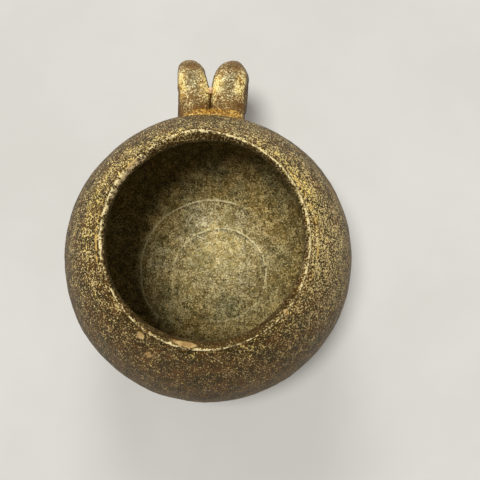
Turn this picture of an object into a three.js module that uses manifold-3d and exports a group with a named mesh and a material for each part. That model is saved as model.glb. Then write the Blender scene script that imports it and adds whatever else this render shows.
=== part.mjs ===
// A small stoneware flower pot, thrown on a wheel, with two clay loops side by side at its back.
// Sizes are in millimetres, +Z is up, the origin is the centre of the flat base,
// and the loops stand out along +Y.

import * as THREE from "three";
import { mergeVertices } from "three/addons/utils/BufferGeometryUtils.js";
import Module from "manifold-3d";

const wasm = await Module();
wasm.setup();

// Outside of the thrown body
const baseRadius = 29;
const baseBevel = 0.8;
const footHeight = 3.2;
const footStep = 2; // how far the belly stands out over the foot
const bellyRadius = 50;
const bellyHeight = 34;
const lipRadius = 33.2; // the ridge along the outer edge of the lip
const lipHeight = 70;

// Inside of the thrown body
const lipWidth = 1.7; // from the ridge in to the narrowest ring of the mouth
const lipDrop = 3; // from the ridge down to that ring
const wall = 4.2;
const floorThickness = 5.2;
const floorDish = 5.4; // how far the rim of the floor lies above its middle
const outerRingRadius = 27.5; // the throwing ring where the floor meets the wall
const innerRingRadius = 18.5;
const ringHeight = 0.5;
const ringHalfWidth = 0.8;

// The two loops, each a flattened coil bent over in its own upright plane
const loopProjection = 23.8; // from the widest part of the belly out to the outermost clay
const loopDrop = 1; // of the middle of the eye below the widest part of the belly
const loopCoreRadius = 10.5; // of the coil's centre line in the bend
const coilThickness = 8.5;
const leftCoilWidth = 11.3;
const rightCoilWidth = 12.7;
const coilGap = 0.4; // between the two coils where they lie against each other
const grooveOffset = -0.4; // of the groove between the coils from the pot's middle plane
const narrowingLength = 16; // of the part of a loop that draws in toward its tip
const tipNarrowing = 2.2; // how much narrower a coil is at its tip
const leftTipSpread = 2.35; // how far the left coil leans away from the right one at its tip
const rightTipSpread = 1.9;
const rightTipSetback = 3; // how far the outer edge of the right loop's tip lies back

// The strips of soft clay that hold the coils' ends, and the wad pressed between the coils
const stripThickness = 2.2;
const stripInset = 0.45; // of a strip's ends from the outer edges of the coils
const stripMargin = 1.45; // of strip above and below the coils
const wadHalfWidth = 1.4;
const wadHalfLength = 1.1;
const wadHalfHeight = 1.9;
const wadSetback = 15.8; // of the wad's middle from the tips of the loops
const wadSink = 2.4; // of the wad's middle below the tops of the coils
const wadOffset = 0.4; // of the wad's middle from the groove

// Room between pieces that touch, and how far a cutting or trimmed shape runs on
const clearance = 0.3;
const overrun = 6;

// Fineness of the round forms
const latheSegments = 64;
const haunchSteps = 9;
const shoulderSteps = 12;
const lipSteps = 5;
const dishSteps = 2;
const stripSegments = 24;
const coilSectionPoints = 20;
const bendSteps = 16;
const wadSegments = 14;

// Colours of the glaze as it shows on each piece
const bodyColour = 0x80704e;
const loopColour = 0xa98f5c;
const stripColour = 0xb08f52;
const wadColour = 0xc9a27a;

// Manifold solid from a closed three.js geometry
function solidOf(geometry) {
  const bare = geometry.clone();
  bare.deleteAttribute("normal");
  bare.deleteAttribute("uv");
  const merged = mergeVertices(bare);
  return new wasm.Manifold(
    new wasm.Mesh({
      numProp: 3,
      vertProperties: merged.attributes.position.array,
      triVerts: new Uint32Array(merged.index.array),
    }),
  );
}

// Three.js geometry from a manifold solid
function geometryOf(solid) {
  const mesh = solid.getMesh();
  const geometry = new THREE.BufferGeometry();
  geometry.setAttribute("position", new THREE.BufferAttribute(mesh.vertProperties, 3));
  geometry.setIndex(new THREE.BufferAttribute(mesh.triVerts, 1));
  geometry.computeVertexNormals();
  return geometry;
}

function glazedMesh(name, geometry, colour, roughness) {
  const material = new THREE.MeshStandardMaterial({ color: colour, roughness, metalness: 0 });
  const mesh = new THREE.Mesh(geometry, material);
  mesh.name = name;
  return mesh;
}

// Turns a profile of (radius, height) points about the pot's upright axis
function turned(profile) {
  return new THREE.LatheGeometry(profile, latheSegments).rotateX(Math.PI / 2);
}

// Points on an ellipse about a centre on the axis, from one height to another
function ellipseArc(centreHeight, halfWidth, halfHeight, fromHeight, toHeight, steps) {
  const from = Math.asin((fromHeight - centreHeight) / halfHeight);
  const to = Math.asin((toHeight - centreHeight) / halfHeight);
  return Array.from({ length: steps + 1 }, (_, i) => {
    const angle = from + ((to - from) * i) / steps;
    return new THREE.Vector2(
      halfWidth * Math.cos(angle),
      centreHeight + halfHeight * Math.sin(angle),
    );
  });
}

// Half height of an ellipse of the given half width that passes through a point off its centre
function halfHeightThrough(halfWidth, radius, offset) {
  return offset / Math.sqrt(1 - (radius / halfWidth) ** 2);
}

// The outside of the body, from the haunch over the foot up to the ridge of the lip,
// grown by a margin
function outerCurve(margin) {
  const haunchRadius = baseRadius + footStep;
  const below = halfHeightThrough(bellyRadius, haunchRadius, bellyHeight - footHeight) + margin;
  const above = halfHeightThrough(bellyRadius, lipRadius, lipHeight - bellyHeight) + margin;
  const radius = bellyRadius + margin;
  const haunch = ellipseArc(bellyHeight, radius, below, footHeight, bellyHeight, haunchSteps);
  const shoulder = ellipseArc(bellyHeight, radius, above, bellyHeight, lipHeight, shoulderSteps);
  return [...haunch, ...shoulder.slice(1)];
}

// The rounded inner edge of the lip, from the ridge down to the narrowest ring of the mouth
function lipRound() {
  return Array.from({ length: lipSteps }, (_, i) => {
    const angle = (Math.PI / 2) * ((i + 1) / lipSteps);
    return new THREE.Vector2(
      lipRadius - lipWidth * Math.sin(angle),
      lipHeight - lipDrop * (1 - Math.cos(angle)),
    );
  });
}

// Height of the dished floor at a distance from the pot's axis
function floorLevel(radius) {
  return floorThickness + floorDish * (radius / outerRingRadius) ** 2;
}

// Points of the floor's profile between two distances from the axis
function floorStretch(fromRadius, toRadius) {
  return Array.from({ length: dishSteps }, (_, i) => {
    const radius = fromRadius + ((toRadius - fromRadius) * (i + 1)) / (dishSteps + 1);
    return new THREE.Vector2(radius, floorLevel(radius));
  });
}

// A small ridge left by the potter's finger, as three points of the floor's profile
function throwingRing(radius) {
  const level = floorLevel(radius);
  return [
    new THREE.Vector2(radius + ringHalfWidth, level),
    new THREE.Vector2(radius, level + ringHeight),
    new THREE.Vector2(radius - ringHalfWidth, level),
  ];
}

// The inside of the body, from under the lip down to the middle of the floor
function innerCurve() {
  const radius = bellyRadius - wall;
  const top = lipHeight - lipDrop;
  const floorEdge = floorLevel(outerRingRadius);
  const above = halfHeightThrough(radius, lipRadius - lipWidth, top - bellyHeight);
  const below = halfHeightThrough(radius, outerRingRadius + ringHalfWidth, bellyHeight - floorEdge);
  const shoulder = ellipseArc(bellyHeight, radius, above, top, bellyHeight, shoulderSteps);
  const haunch = ellipseArc(bellyHeight, radius, below, bellyHeight, floorEdge, haunchSteps);
  return [
    ...shoulder.slice(1),
    ...haunch.slice(1, -1),
    ...throwingRing(outerRingRadius),
    ...floorStretch(outerRingRadius, innerRingRadius),
    ...throwingRing(innerRingRadius),
    ...floorStretch(innerRingRadius, 0),
    new THREE.Vector2(0, floorThickness),
  ];
}

function bodyGeometry() {
  return turned([
    new THREE.Vector2(0, 0),
    new THREE.Vector2(baseRadius - baseBevel, 0),
    new THREE.Vector2(baseRadius, baseBevel),
    new THREE.Vector2(baseRadius, footHeight),
    ...outerCurve(0),
    ...lipRound(),
    ...innerCurve(),
  ]);
}

// A solid of the body's outside grown by a margin, which trims what lies against the wall
function bodyEnvelope(margin) {
  const curve = outerCurve(margin);
  return solidOf(
    turned([
      new THREE.Vector2(0, curve[0].y),
      ...curve,
      new THREE.Vector2(0, curve[curve.length - 1].y),
    ]),
  );
}

// How far the loops reach from the pot's axis, the height of the middle of their eye,
// and the heights of the two roots where a loop meets the wall
const loopReach = bellyRadius + loopProjection;
const loopMiddle = bellyHeight - loopDrop;
const upperRootHeight = loopMiddle + loopCoreRadius;
const lowerRootHeight = loopMiddle - loopCoreRadius;

// Stations along a loop's centre line: out from the wall, half round, and back in,
// each with the tilt of the direction that points away from the eye
function loopStations() {
  const start = bellyRadius - overrun;
  const bendReach = loopReach - coilThickness / 2 - loopCoreRadius;
  const bend = Array.from({ length: bendSteps + 1 }, (_, i) => {
    const tilt = Math.PI / 2 - (Math.PI * i) / bendSteps;
    return {
      reach: bendReach + loopCoreRadius * Math.cos(tilt),
      height: loopMiddle + loopCoreRadius * Math.sin(tilt),
      tilt,
    };
  });
  return [
    { reach: start, height: upperRootHeight, tilt: Math.PI / 2 },
    ...bend,
    { reach: start, height: lowerRootHeight, tilt: -Math.PI / 2 },
  ];
}

// Moves a point of a coil sideways to its place beside the groove,
// draws the coil in toward its tip, and lays the outer half of the tip back
function placeOnSide(point, { side, width, spread, setback }) {
  const share = (point.y - (loopReach - narrowingLength)) / narrowingLength;
  const toTip = THREE.MathUtils.clamp(share, 0, 1);
  const outward = Math.max(point.x / (width / 2), 0);
  point.x *= 1 - (tipNarrowing / width) * toTip;
  point.x = grooveOffset + side * (point.x + (coilGap + width) / 2 + spread * toTip);
  point.y -= setback * outward ** 2 * toTip;
}

// Triangles that close a stack of rings into one skin, with a flat face over each end
function ringStackFaces(ringCount, ringSize) {
  const faces = [];
  for (let k = 0; k + 1 < ringCount; k++) {
    for (let i = 0; i < ringSize; i++) {
      const a = k * ringSize + i;
      const b = k * ringSize + ((i + 1) % ringSize);
      faces.push(a, a + ringSize, b, b, a + ringSize, b + ringSize);
    }
  }
  const last = (ringCount - 1) * ringSize;
  for (let i = 1; i + 1 < ringSize; i++) {
    faces.push(0, i, i + 1, last, last + i + 1, last + i);
  }
  return faces;
}

// The two coils, each on its side of the groove
const leftCoil = { side: -1, width: leftCoilWidth, spread: leftTipSpread, setback: 0 };
const rightCoil = {
  side: 1,
  width: rightCoilWidth,
  spread: rightTipSpread,
  setback: rightTipSetback,
};

// A flattened coil along the loop's centre line
function coilSolid(coil, grow) {
  const stations = loopStations();
  const places = [];
  for (const { reach, height, tilt } of stations) {
    for (let i = 0; i < coilSectionPoints; i++) {
      const turn = (2 * Math.PI * i) / coilSectionPoints;
      const away = (coilThickness / 2 + grow) * Math.sin(coil.side * turn);
      const point = new THREE.Vector3(
        (coil.width / 2 + grow) * Math.cos(turn),
        reach + away * Math.cos(tilt),
        height + away * Math.sin(tilt),
      );
      placeOnSide(point, coil);
      places.push(point.x, point.y, point.z);
    }
  }
  return new wasm.Manifold(
    new wasm.Mesh({
      numProp: 3,
      vertProperties: new Float32Array(places),
      triVerts: new Uint32Array(ringStackFaces(stations.length, coilSectionPoints)),
    }),
  );
}

// A coil with both ends cut to the clay strips that carry it
function loopGeometry(coil) {
  return geometryOf(coilSolid(coil, 0).subtract(bodyEnvelope(stripThickness + clearance)));
}

// The outline of a clay strip: a slot shape, fitted to the two coils it carries
function stripOutline() {
  const width = leftCoilWidth + coilGap + rightCoilWidth - 2 * stripInset;
  const radius = coilThickness / 2 + stripMargin;
  const half = width / 2 - radius;
  const outline = new THREE.Shape();
  outline.absarc(half, 0, radius, -Math.PI / 2, Math.PI / 2, false);
  outline.absarc(-half, 0, radius, Math.PI / 2, (Math.PI * 3) / 2, false);
  return outline;
}

// A strip of soft clay, of even thickness, pressed on the wall under two coil ends
function stripGeometry(height) {
  const block = new THREE.ExtrudeGeometry(stripOutline(), {
    depth: bellyRadius + overrun,
    bevelEnabled: false,
    curveSegments: stripSegments / 2,
  });
  block.rotateX(-Math.PI / 2);
  block.translate(grooveOffset + (rightCoilWidth - leftCoilWidth) / 2, 0, height);
  return geometryOf(
    solidOf(block).intersect(bodyEnvelope(stripThickness)).subtract(bodyEnvelope(clearance)),
  );
}

// The wad of clay pressed into the groove between the coils, on top
function wadGeometry() {
  const wad = new THREE.SphereGeometry(1, wadSegments, wadSegments);
  wad.scale(wadHalfWidth, wadHalfLength, wadHalfHeight);
  wad.translate(
    grooveOffset + wadOffset,
    loopReach - wadSetback,
    upperRootHeight + coilThickness / 2 - wadSink,
  );
  return geometryOf(
    solidOf(wad).subtract(coilSolid(leftCoil, clearance)).subtract(coilSolid(rightCoil, clearance)),
  );
}

const pot = new THREE.Group();
pot.add(glazedMesh("pot_body", bodyGeometry(), bodyColour, 0.55));
pot.add(glazedMesh("upper_clay_strip", stripGeometry(upperRootHeight), stripColour, 0.5));
pot.add(glazedMesh("lower_clay_strip", stripGeometry(lowerRootHeight), stripColour, 0.5));
pot.add(glazedMesh("left_loop", loopGeometry(leftCoil), loopColour, 0.45));
pot.add(glazedMesh("right_loop", loopGeometry(rightCoil), loopColour, 0.45));
pot.add(glazedMesh("bridging_wad", wadGeometry(), wadColour, 0.7));

export default pot;
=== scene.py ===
# %% [markdown]
# # A stoneware pot with twin loops
# The real pot is thrown on a wheel from dark stoneware, drawn in toward a wide mouth, and dressed
# with two loops of flattened coil side by side at its back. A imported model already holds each
# piece at its real size. This lesson gives every piece its worked surface and its glaze, and
# never moves one. All lengths are in metres, in the frame of that model: the origin is the middle
# of the base, +Z is up, and the loops stand out along +Y.

# %% Load the frame
import itertools
import math

import bpy
import numpy as np
from mathutils import Matrix, Vector


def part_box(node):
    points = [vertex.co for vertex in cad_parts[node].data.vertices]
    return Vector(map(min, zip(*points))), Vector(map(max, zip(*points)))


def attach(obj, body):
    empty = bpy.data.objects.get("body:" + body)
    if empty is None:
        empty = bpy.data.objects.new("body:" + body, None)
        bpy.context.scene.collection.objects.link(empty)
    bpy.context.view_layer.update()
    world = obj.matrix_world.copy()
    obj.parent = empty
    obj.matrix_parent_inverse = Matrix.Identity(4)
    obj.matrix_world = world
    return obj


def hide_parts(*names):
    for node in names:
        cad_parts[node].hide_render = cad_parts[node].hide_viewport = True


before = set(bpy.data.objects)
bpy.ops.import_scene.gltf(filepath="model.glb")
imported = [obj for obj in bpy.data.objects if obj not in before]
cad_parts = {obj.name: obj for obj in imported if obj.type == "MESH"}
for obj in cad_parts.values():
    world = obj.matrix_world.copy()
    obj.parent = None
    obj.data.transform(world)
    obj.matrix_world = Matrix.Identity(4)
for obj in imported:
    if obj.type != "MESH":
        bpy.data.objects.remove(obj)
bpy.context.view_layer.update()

MM = 0.001
body_low, body_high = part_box("pot_body")
print("body, lowest and highest corner in mm:", np.round(np.array([body_low, body_high]) / MM, 1))

# %% [markdown]
# ## The camera
# The photograph looks down into the pot from arm's length, a little from the front. The camera
# could be turned by eye, but an aim worked out from angles is easier to read and to check: the
# lens sits on a line that leaves the target at an azimuth and an elevation, and a small roll
# turns the picture about that line.

# %% Aim the camera
CAMERA_TARGET = Vector((10.93, 6.54, 34.0)) * MM
CAMERA_DISTANCE = 262.9 * MM
CAMERA_AZIMUTH = math.radians(-0.1)
CAMERA_ELEVATION = math.radians(78.47)
CAMERA_ROLL = math.radians(0.93)
CAMERA_VIEW_ANGLE = math.radians(36)


def camera_axes(azimuth, elevation, roll):
    """The lens looks against its back axis. Right is level before the roll, up is square to both,
    and the roll turns right and up about the back axis."""
    flat = math.cos(elevation)
    back = Vector((math.sin(azimuth) * flat, -math.cos(azimuth) * flat, math.sin(elevation)))
    right = Vector((0, 0, 1)).cross(back).normalized()
    up = back.cross(right)
    turned_right = right * math.cos(roll) + up * math.sin(roll)
    turned_up = up * math.cos(roll) - right * math.sin(roll)
    return turned_right, turned_up, back


axes = camera_axes(CAMERA_AZIMUTH, CAMERA_ELEVATION, CAMERA_ROLL)
camera = bpy.data.objects.new("camera", bpy.data.cameras.new("camera"))
camera.data.angle = CAMERA_VIEW_ANGLE
camera.data.clip_start = 10 * MM
place = Matrix(axes).transposed().to_4x4()
place.translation = CAMERA_TARGET + axes[2] * CAMERA_DISTANCE
camera.matrix_world = place
bpy.context.scene.collection.objects.link(camera)
bpy.context.scene.camera = camera
print("camera stands at, in mm:", [round(x / MM, 1) for x in place.translation])

# %% [markdown]
# ## Noise for hand-worked clay
# Fingers, ribs and sponges leave soft lumps at several scales. Blender has noise textures for
# modifiers, but a lattice of random heights worked out here gives whole arrays at once, the same
# on every run, and can be added to any formula.

# %% Soft noise on arrays of points
NOISE_CELLS = 37


def eased(share):
    """Three times the square less twice the cube of a share held between 0 and 1."""
    share = np.clip(share, 0, 1)
    return share * share * (3 - 2 * share)


def bell(distance, width):
    """A bell curve: 1 at no distance, and 1/e at one width from there."""
    return np.exp(-((distance / width) ** 2))


def lumps(points, size, seed):
    """Noise from -1 to 1. Random heights stand on a cubic lattice whose cells are size wide, and
    each point takes its cell's eight corners, each weighted by the eased nearness along X, Y, Z."""
    heights = np.random.default_rng(seed).uniform(-1, 1, (NOISE_CELLS,) * 3)
    cell = np.floor(points / size).astype(int)
    near = eased(points / size - cell)
    total = np.zeros(points.shape[:-1])
    for corner in itertools.product((0, 1), repeat=3):
        weight = np.where(corner, near, 1 - near).prod(axis=-1)
        place = (cell + corner) % NOISE_CELLS
        total += weight * heights[place[..., 0], place[..., 1], place[..., 2]]
    return total


sample = lumps(np.random.default_rng(1).uniform(0, 50, (2000, 3)), 3.0, 2)
print("noise spreads from", round(sample.min(), 2), "to", round(sample.max(), 2))

# %% [markdown]
# ## From a grid of points to a closed skin
# Every piece of this pot is a surface that runs along a line and once round it, so one helper can
# turn any such grid into a mesh. Rows run along the piece, columns run round it, and a point at
# each end closes it. The helper also keeps masks, numbers from 0 to 1 that tell the glaze where
# an edge, a chip or bare clay lies, and lays out a map by length and turn.

# %% The skin helper
def grid_faces(rows, columns):
    """Four-sided faces between neighbouring rows, and three-sided faces to the two end points,
    all wound so that they face outward when rows climb as columns turn counter-clockwise."""
    here = np.arange(columns)
    after = (here + 1) % columns
    start = np.arange(rows - 1)[:, None] * columns
    quads = np.stack([start + here, start + after, start + after + columns,
                      start + here + columns], axis=-1).reshape(-1, 4)
    last = (rows - 1) * columns
    low_end = np.full(columns, rows * columns)
    low_fan = np.stack([after, here, low_end], axis=-1)
    high_fan = np.stack([last + here, last + after, low_end + 1], axis=-1)
    return quads, np.concatenate([low_fan, high_fan])


def grid_map(points):
    """Places on a flat map for each face corner: across by the share of a turn, and up by the
    share of the length that the rows have run."""
    rows, columns = points.shape[:2]
    steps = np.linalg.norm(np.diff(points, axis=0), axis=-1).mean(axis=1)
    ends = [np.linalg.norm(points[k] - points[k].mean(axis=0), axis=-1).mean() for k in (0, -1)]
    run = np.cumsum(np.concatenate([[ends[0]], steps, [ends[1]]]))
    up = run / run[-1]
    here = np.arange(columns) / columns
    after = here + 1 / columns
    across = np.broadcast_to(np.stack([here, after, after, here], -1), (rows - 1, columns, 4))
    low, high = up[: rows - 1, None], up[1:rows, None]
    climb = np.broadcast_to(np.stack([low, low, high, high], -1), (rows - 1, columns, 4))
    quads = np.stack([across, climb], -1).reshape(-1, 2)
    middle = (here + after) / 2
    low_fan = np.stack([after, here, middle], -1), np.array([up[0], up[0], 0])
    high_fan = np.stack([here, after, middle], -1), np.array([up[-2], up[-2], 1])
    fans = [np.stack([a, np.broadcast_to(u, a.shape)], -1).reshape(-1, 2)
            for a, u in (low_fan, high_fan)]
    return np.concatenate([quads, *fans])


def enclosed_volume(vertices, quads, fans):
    """The sum of the signed volumes between the origin and each triangle. It is above zero when
    the faces point outward."""
    triangles = np.concatenate([quads[:, [0, 1, 2]], quads[:, [0, 2, 3]], fans])
    a, b, c = (vertices[triangles[:, k]] for k in range(3))
    return (a * np.cross(b, c)).sum() / 6


def skin(name, points, masks):
    """A smooth closed mesh object from points[row, column] and masks {name: [row, column]}."""
    rows, columns = points.shape[:2]
    ends = points[[0, -1]].mean(axis=1)
    vertices = np.concatenate([points.reshape(-1, 3), ends])
    quads, fans = grid_faces(rows, columns)
    mesh = bpy.data.meshes.new(name)
    mesh.from_pydata(vertices.tolist(), [], quads.tolist() + fans.tolist())
    mesh.polygons.foreach_set("use_smooth", np.ones(len(quads) + len(fans), bool))
    mesh.uv_layers.new(name="OFBake").uv.foreach_set("vector", grid_map(points).ravel())
    for mask, values in masks.items():
        values = np.broadcast_to(values, (rows, columns))
        numbers = np.concatenate([values.ravel(), values[[0, -1]].mean(axis=1)])
        layer = mesh.attributes.new(mask, "FLOAT", "POINT")
        layer.data.foreach_set("value", numbers.astype(np.float32))
    mesh.update()
    piece = bpy.data.objects.new(name, mesh)
    bpy.context.scene.collection.objects.link(piece)
    volume = enclosed_volume(vertices, quads, fans) / 0.01**3
    print(f"{name}: {2 * len(quads) + len(fans)} triangles, {volume:.2f} cubic centimetres")
    return piece


# %% [markdown]
# ## The profile of the thrown wall
# A potter lifts one wall from a disc of clay: a flat foot, a haunch that swells over it, the belly,
# a shoulder that leans in, the lip, and then the same wall seen from inside, down to the floor.
# A modeller could draw it with a curve and a Screw modifier. Stretches of ellipses are used
# instead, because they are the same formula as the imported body's and meet it exactly.

# %% Sizes of the wall
BELLY_RADIUS = body_high.x
LIP_HEIGHT = body_high.z
FOOT_RADIUS = 29 * MM
FOOT_BEVEL = 0.8 * MM
FOOT_HEIGHT = 3.2 * MM
FOOT_STEP = 2 * MM
BELLY_HEIGHT = 34 * MM
LIP_RADIUS = 33.2 * MM
LIP_WIDTH = 1.7 * MM
LIP_DROP = 3 * MM
WALL = 4.2 * MM
FLOOR_THICKNESS = 5.2 * MM
FLOOR_DISH = 5.4 * MM
OUTER_RING = 27.5 * MM
INNER_RING = 18.5 * MM
FLOOR_EDGE = OUTER_RING + 0.8 * MM
FINE_STEPS = 600


# %% The profile as one fine line
def half_height_through(half_width, radius, offset):
    """Half height of an ellipse of that half width that passes through a radius at an offset from
    its centre: the offset over the root of one less the squared share of the radius."""
    return offset / math.sqrt(1 - (radius / half_width) ** 2)


def ellipse_stretch(half_width, half_height, low, high):
    """Points (radius, height) of an ellipse about the belly's height, between two heights."""
    ends = [math.asin((z - BELLY_HEIGHT) / half_height) for z in (low, high)]
    angle = np.linspace(*ends, FINE_STEPS)
    return np.stack([half_width * np.cos(angle), BELLY_HEIGHT + half_height * np.sin(angle)], -1)


def straight(start, end):
    """Points on a straight line between two (radius, height) points."""
    share = np.linspace(0, 1, FINE_STEPS)[:, None]
    return np.array(start) + share * (np.array(end) - np.array(start))


def outside_height(radius, offset):
    return half_height_through(BELLY_RADIUS, radius, offset)


def outside_line():
    """From the middle of the base out over the foot, and up the haunch and shoulder to the lip."""
    step = FOOT_RADIUS + FOOT_STEP
    below = outside_height(step, BELLY_HEIGHT - FOOT_HEIGHT)
    above = outside_height(LIP_RADIUS, LIP_HEIGHT - BELLY_HEIGHT)
    return [
        straight((0.5 * MM, 0), (FOOT_RADIUS - FOOT_BEVEL, 0)),
        straight((FOOT_RADIUS - FOOT_BEVEL, 0), (FOOT_RADIUS, FOOT_BEVEL)),
        straight((FOOT_RADIUS, FOOT_BEVEL), (FOOT_RADIUS, FOOT_HEIGHT - FOOT_BEVEL)),
        straight((FOOT_RADIUS, FOOT_HEIGHT - FOOT_BEVEL), (step, FOOT_HEIGHT)),
        ellipse_stretch(BELLY_RADIUS, below, FOOT_HEIGHT, BELLY_HEIGHT),
        ellipse_stretch(BELLY_RADIUS, above, BELLY_HEIGHT, LIP_HEIGHT),
    ]


def inside_line():
    """From the lip over its rounded inner edge, down the inside of the wall, and in to the middle
    of the floor, which dishes by the square of the share of the outer ring's radius."""
    round_share = np.linspace(0, math.pi / 2, FINE_STEPS)
    lip = np.stack([LIP_RADIUS - LIP_WIDTH * np.sin(round_share),
                    LIP_HEIGHT - LIP_DROP * (1 - np.cos(round_share))], -1)
    inner, top = BELLY_RADIUS - WALL, LIP_HEIGHT - LIP_DROP
    edge = FLOOR_THICKNESS + FLOOR_DISH
    above = half_height_through(inner, LIP_RADIUS - LIP_WIDTH, top - BELLY_HEIGHT)
    below = half_height_through(inner, FLOOR_EDGE, BELLY_HEIGHT - edge)
    radius = np.linspace(FLOOR_EDGE, 0.5 * MM, FINE_STEPS)
    share = np.minimum(radius / OUTER_RING, 1)
    floor = np.stack([radius, FLOOR_THICKNESS + FLOOR_DISH * share**2], -1)
    return [
        lip,
        ellipse_stretch(inner, above, BELLY_HEIGHT, top)[::-1],
        ellipse_stretch(inner, below, edge, BELLY_HEIGHT)[::-1],
        floor,
    ]


outside, inside = outside_line(), inside_line()
fine_line = np.concatenate(outside + inside)
fine_run = np.concatenate([[0], np.cumsum(np.linalg.norm(np.diff(fine_line, axis=0), axis=1))])
lip_run = fine_run[sum(len(part) for part in outside) - 1]
print(f"the profile runs {fine_run[-1] / MM:.1f} mm, and the lip lies {lip_run / MM:.1f} mm along it")

# %% [markdown]
# ## Rows where the detail is
# Even rows would waste faces on the plain belly and starve the lip, whose ridges are under a
# millimetre wide. So the rows follow a density: even everywhere, with bells of extra rows at the
# lip, the foot and the two rings of the floor. Summing it along the profile and reading the sum
# backwards gives each row its place.

# %% Spread the rows
BODY_ROWS = 192
BODY_COLUMNS = 512


def run_at_radius(radius):
    """How far along the profile the floor has that radius."""
    floor = len(fine_line) - FINE_STEPS
    return np.interp(-radius, -fine_line[floor:, 0], fine_run[floor:])


def row_density(run):
    """One everywhere, and more in bells round the lip, the foot and the floor's rings."""
    foot_run = FOOT_RADIUS + FOOT_HEIGHT / 2
    crowd = 3.0 * bell(run - lip_run + 0.5 * MM, 3 * MM) + 1.0 * bell(run - foot_run, 3 * MM)
    for ring, width in ((OUTER_RING, 1.3 * MM), (INNER_RING, 4.2 * MM)):
        crowd = crowd + 1.6 * bell(run - run_at_radius(ring), width)
    return 1 + crowd


summed = np.cumsum(row_density(fine_run) * np.gradient(fine_run))
row_run = np.interp(np.linspace(summed[0], summed[-1], BODY_ROWS), summed, fine_run)
row_radius = np.interp(row_run, fine_run, fine_line[:, 0])
row_height = np.interp(row_run, fine_run, fine_line[:, 1])
slope = np.stack([np.gradient(row_radius, row_run), np.gradient(row_height, row_run)])
slope /= np.linalg.norm(slope, axis=0)
past_lip = (row_run - lip_run)[:, None]
angle = np.linspace(0, 2 * math.pi, BODY_COLUMNS, endpoint=False)[None, :]
print("rows are", round(np.diff(row_run).min() / MM, 2), "to", round(np.diff(row_run).max() / MM, 2),
      "mm apart")

# %% [markdown]
# ## The plan of the lip
# No hand-thrown mouth is round. Seen from above, this lip is a little wider across one slant, and
# it swells out toward the loops, where the wall was pulled when they were pressed on. Two waves
# and a bell round the axis describe that, and they fade away down the wall, outside and inside.

# %% Lip plan
def degrees_from(bearing):
    """The signed turn from a bearing in degrees to each column, from -180 to 180."""
    return (np.degrees(angle) - bearing + 180) % 360 - 180


def turn_wave(cycles, bearing):
    return np.cos(cycles * np.radians(degrees_from(bearing)))


ridge_shift = (-0.2 + 0.85 * turn_wave(2, 100) + 0.4 * turn_wave(1, 290)
               + 1.1 * bell(degrees_from(98), 14)) * MM
mouth_shift = (-0.35 + 0.35 * turn_wave(2, 80) + 0.35 * bell(degrees_from(68), 16)) * MM
bevel_share = eased(past_lip / (3.6 * MM))
outside_fade = bell(np.minimum(past_lip, 0), 7 * MM)
inside_fade = bell(np.maximum(past_lip - 3.6 * MM, 0), 9 * MM)
lip_shift = outside_fade * inside_fade * (ridge_shift * (1 - bevel_share) + mouth_shift * bevel_share)
lip_lift = outside_fade * inside_fade * (0.35 * turn_wave(1, 60) + 0.2 * turn_wave(3, 20)
                                         + 0.2 * turn_wave(2, 75)) * MM
print("the lip's radius runs from", round((LIP_RADIUS + ridge_shift.min()) / MM, 1), "to",
      round((LIP_RADIUS + ridge_shift.max()) / MM, 1), "mm")

# %% [markdown]
# ## What the hands left on the wall
# The lip has a sharp crest, a shallow groove outside it and a second, broken crest beyond. Fine
# lines wind up the wall from the potter's rib, deeper ones inside, and the floor keeps two rings
# from the fingertip. All of these are heights above the plain wall, added along its normal.

# %% Relief of the wall
grid = np.stack(np.broadcast_arrays(row_radius[:, None] * np.cos(angle),
                                    row_radius[:, None] * np.sin(angle),
                                    row_height[:, None]), axis=-1)
wobble = lumps(grid, 9 * MM, 11)
crest_share = (0.3 + 0.7 * np.cos(angle) ** 2) * (0.75 + 0.5 * lumps(grid, 4 * MM, 12))
crest_place = (-1.95 - 1.4 * bell(degrees_from(0), 28) + 0.25 * wobble) * MM


def lip_relief():
    """A crest at the ridge, a groove 1 mm outside it, and the second crest beyond."""
    crest = 0.24 * bell(past_lip, 0.55 * MM)
    groove = -0.18 * bell(past_lip + 1.0 * MM, 0.5 * MM)
    second = 0.26 * crest_share * bell(past_lip - crest_place, 0.45 * MM)
    return (crest + groove + second) * MM


def rib_lines(pitch, depth, seed):
    """A helical wave: it climbs one pitch in each turn, and fades in and out with the noise."""
    turns = row_run[:, None] / pitch + angle / (2 * math.pi)
    return depth * np.sin(2 * math.pi * turns) * (0.6 + 0.6 * lumps(grid, 12 * MM, seed))


def finger_ring(ring, off_centre, bearing, width, seed):
    """A narrow bell at the ring's radius about a middle that lies off the axis toward a bearing,
    wandering a little as it goes round."""
    radius = ring + off_centre * turn_wave(1, bearing) + 0.3 * MM * lumps(grid, 10 * MM, seed)
    return bell(row_radius[:, None] - radius, width) * on_floor


on_floor = (row_run > run_at_radius(FLOOR_EDGE + 2 * MM)).astype(float)[:, None]
is_inside = eased((past_lip - 2.2 * MM) / (2.2 * MM))
is_base = ((row_height < 0.01 * MM) & (row_run < lip_run)).astype(float)[:, None]
off_base = eased((row_run - FOOT_RADIUS) / (3 * MM))[:, None]
inner_ring = finger_ring(INNER_RING - 0.4 * MM, 3.6 * MM, 330, 0.36 * MM, 20)
outer_ring = finger_ring(OUTER_RING, 0.35 * MM, 300, 0.4 * MM, 21)
outer_ring = outer_ring * (0.15 + 0.85 * eased((100 - np.abs(degrees_from(145))) / 30))
relief = lip_relief() + 0.36 * MM * (inner_ring + outer_ring)
relief = relief + rib_lines(2.3 * MM, 0.05 * MM, 13) * (1 - is_inside) * bell(past_lip + 30 * MM, 30 * MM)
relief = relief + rib_lines(4.4 * MM, 0.13 * MM, 14) * is_inside * (1 - 0.85 * on_floor)
relief = relief + (0.26 * lumps(grid, 15 * MM, 15) + 0.12 * lumps(grid, 5 * MM, 16)) * MM
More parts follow.
